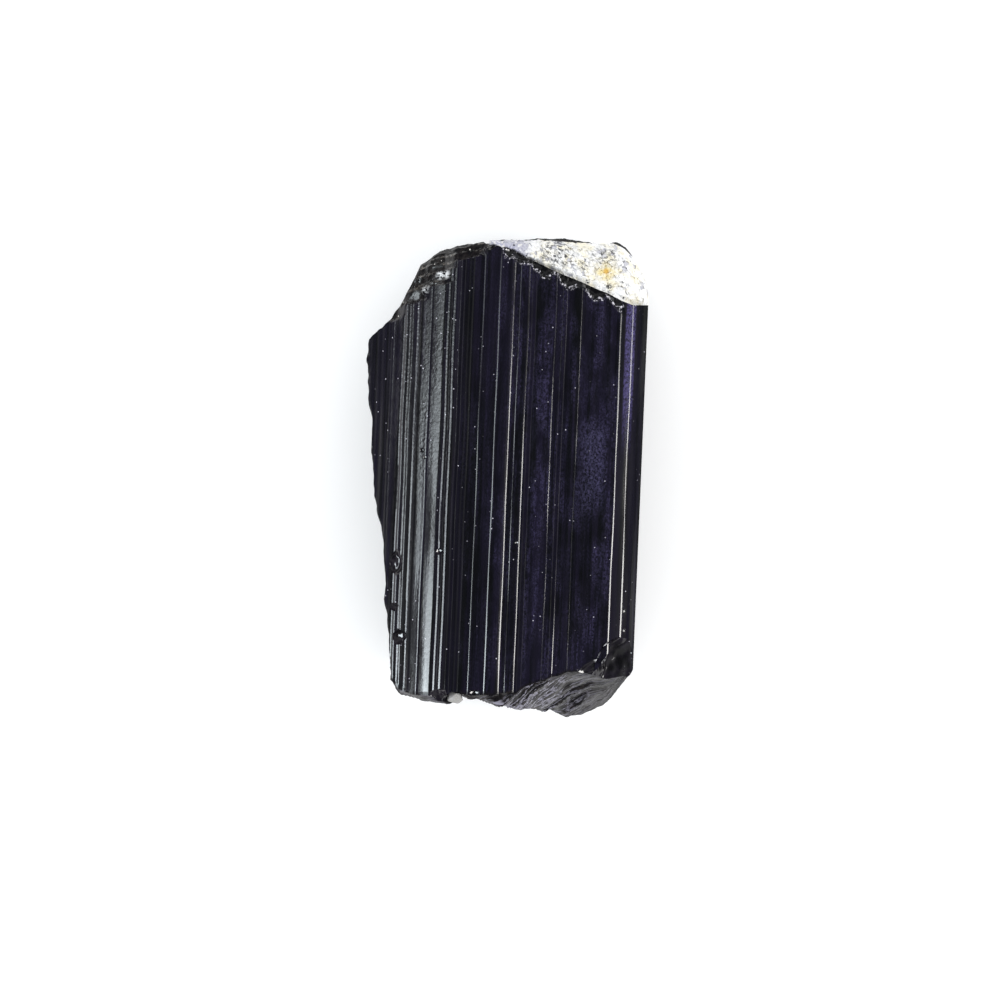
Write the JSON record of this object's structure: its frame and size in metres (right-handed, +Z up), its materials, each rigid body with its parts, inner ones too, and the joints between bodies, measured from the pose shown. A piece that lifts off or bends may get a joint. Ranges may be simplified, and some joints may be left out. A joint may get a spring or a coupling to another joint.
{
  "type": "tourmaline crystal",
  "caption": "Broken, lengthwise-striated prism of dark violet-black tourmaline lying on its side, with a sugary white albite crust on one end.",
  "frame": {"origin": "middle of the footprint's box, on the surface that the crystal lies on", "axes": "+Y along the crystal's c-axis towards the end with the albite, +Z up from the lower prism face"},
  "size_m": [0.0241, 0.0412, 0.0158],
  "materials": {
    "tourmaline": "glassy, violet-black, striated",
    "albite": "sugary white with a small iron stain"
  },
  "bodies": {
    "root": {"tourmaline_crystal": "tourmaline", "albite_matrix": "albite", "albite_chip": "albite"}
  },
  "joints": []
}
